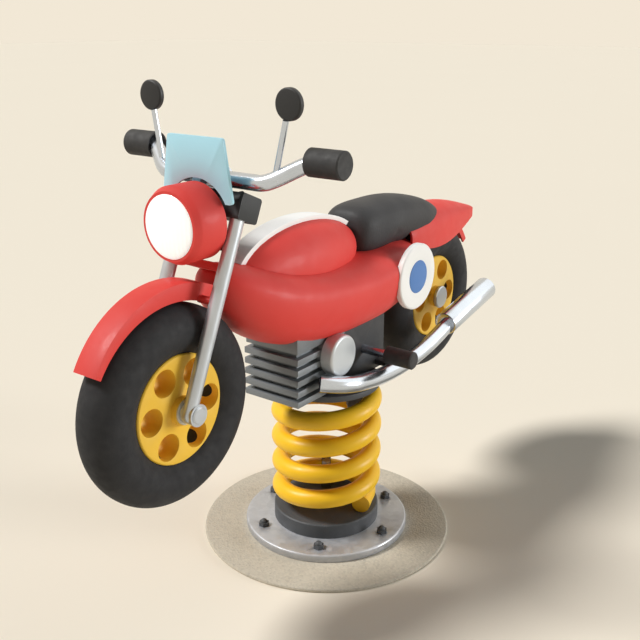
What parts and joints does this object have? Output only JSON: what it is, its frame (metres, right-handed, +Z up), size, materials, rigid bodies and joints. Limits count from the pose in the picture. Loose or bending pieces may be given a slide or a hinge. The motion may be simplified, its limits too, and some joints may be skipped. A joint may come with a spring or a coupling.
{
  "type": "spring rider",
  "caption": "Motorcycle-shaped playground spring rider: a seat, handlebar and footpegs on a body that rocks on a coil spring above a round ground base, with wheels that turn on their axles.",
  "frame": {"origin": "on the spring's axis, on the underside of the round ground pad", "axes": "+Z up; -Y to the rider's front, where the front wheel is; +X to the rider's left, the exhaust side"},
  "size_m": [0.4699, 1.054, 0.8452],
  "materials": {
    "pad_rubber": "matte bonded granulate, sand colour",
    "plate_steel": "galvanised, matt",
    "spring_mount_paint": "dark grey powder coat",
    "fastener_steel": "zinc plated",
    "spring_paint": "yellow powder coat",
    "chassis_paint": "dark grey powder coat",
    "engine_alloy": "grey cast finish",
    "bright_chrome": "polished",
    "cover_alloy": "satin cast cover",
    "peg_rubber": "matte moulded",
    "body_red": "gloss red, moulded",
    "yoke_red": "gloss red powder coat",
    "trim_white": "gloss white, moulded",
    "disc_blue": "gloss blue, moulded",
    "seat_cover": "synthetic leather, fine grain",
    "tyre_rubber": "matte",
    "wheel_yellow": "satin yellow, moulded",
    "bush_nylon": "natural nylon",
    "axle_steel": "turned",
    "fork_alloy": "polished tube",
    "crown_paint": "dark grey powder coat",
    "clamp_alloy": "satin",
    "mirror_case": "matte black, moulded",
    "mirror_face": "acrylic safety mirror",
    "lens_white": "opal white",
    "screen_blue": "pale blue, opaque"
  },
  "bodies": {
    "base": {"ground_pad": "pad_rubber", "base_plate": "plate_steel", "anchor_nuts": "spring_mount_paint", "lower_spring_cup": "spring_mount_paint", "lower_spring_clip": "spring_mount_paint", "lower_clip_bolt": "fastener_steel"},
    "spring": {"coil_spring": "spring_paint"},
    "rider": {"upper_spring_cap": "spring_mount_paint", "upper_spring_clip": "spring_mount_paint", "upper_clip_bolt": "fastener_steel", "cap_bolts": "fastener_steel", "chassis_box": "chassis_paint", "engine_block": "engine_alloy", "cylinder_head": "engine_alloy", "crank_cover_left": "cover_alloy", "crank_cover_right": "cover_alloy", "footpeg_bar": "bright_chrome", "footpeg_rubber_left": "peg_rubber", "footpeg_rubber_right": "peg_rubber", "exhaust_pipe": "bright_chrome", "muffler": "bright_chrome", "exhaust_bracket_front": "chassis_paint", "exhaust_bracket_rear": "chassis_paint", "body_shell": "body_red", "fuel_tank": "body_red", "tank_stripe": "trim_white", "side_disc_left": "trim_white", "side_disc_right": "trim_white", "disc_centre_left": "disc_blue", "disc_centre_right": "disc_blue", "seat_cushion": "seat_cover", "tail_cowl": "body_red", "rear_mudguard": "body_red", "swingarm": "chassis_paint", "rear_axle": "axle_steel", "front_axle": "axle_steel", "fork_leg_left": "fork_alloy", "fork_leg_right": "fork_alloy", "fork_crown": "crown_paint", "lower_yoke": "yoke_red", "handlebar": "bright_chrome", "handlebar_clamps": "clamp_alloy", "grip_left": "peg_rubber", "grip_right": "peg_rubber", "mirror_stalks": "bright_chrome", "mirror_head_left": "mirror_case", "mirror_head_right": "mirror_case", "mirror_glasses": "mirror_face", "headlight_shell": "body_red", "headlight_lens": "lens_white", "headlight_bracket": "chassis_paint", "windscreen": "screen_blue", "windscreen_spacers": "chassis_paint", "front_mudguard": "body_red"},
    "front_wheel": {"front_wheel_disc": "wheel_yellow", "front_tyre": "tyre_rubber", "front_bushes": "bush_nylon"},
    "rear_wheel": {"rear_wheel_disc": "wheel_yellow", "rear_tyre": "tyre_rubber", "rear_bushes": "bush_nylon"}
  },
  "joints": [
    {"name": "rock_fore_aft", "type": "hinge", "parent": "base", "child": "spring", "pos_m": [0, 0, 0.11], "axis": [1, 0, 0], "range_deg": [-14, 14], "stiffness_Nm_per_rad": 600, "deforming": ["coil_spring"]},
    {"name": "rock_sideways", "type": "hinge", "parent": "spring", "child": "rider", "pos_m": [0, 0, 0.233], "axis": [0, 1, 0], "range_deg": [-9, 9], "stiffness_Nm_per_rad": 600, "deforming": ["coil_spring"]},
    {"name": "front_wheel_spin", "type": "hinge", "parent": "rider", "child": "front_wheel", "pos_m": [0, -0.401, 0.392], "axis": [1, 0, 0], "continuous": true},
    {"name": "rear_wheel_spin", "type": "hinge", "parent": "rider", "child": "rear_wheel", "pos_m": [0, 0.343, 0.381], "axis": [1, 0, 0], "continuous": true}
  ]
}
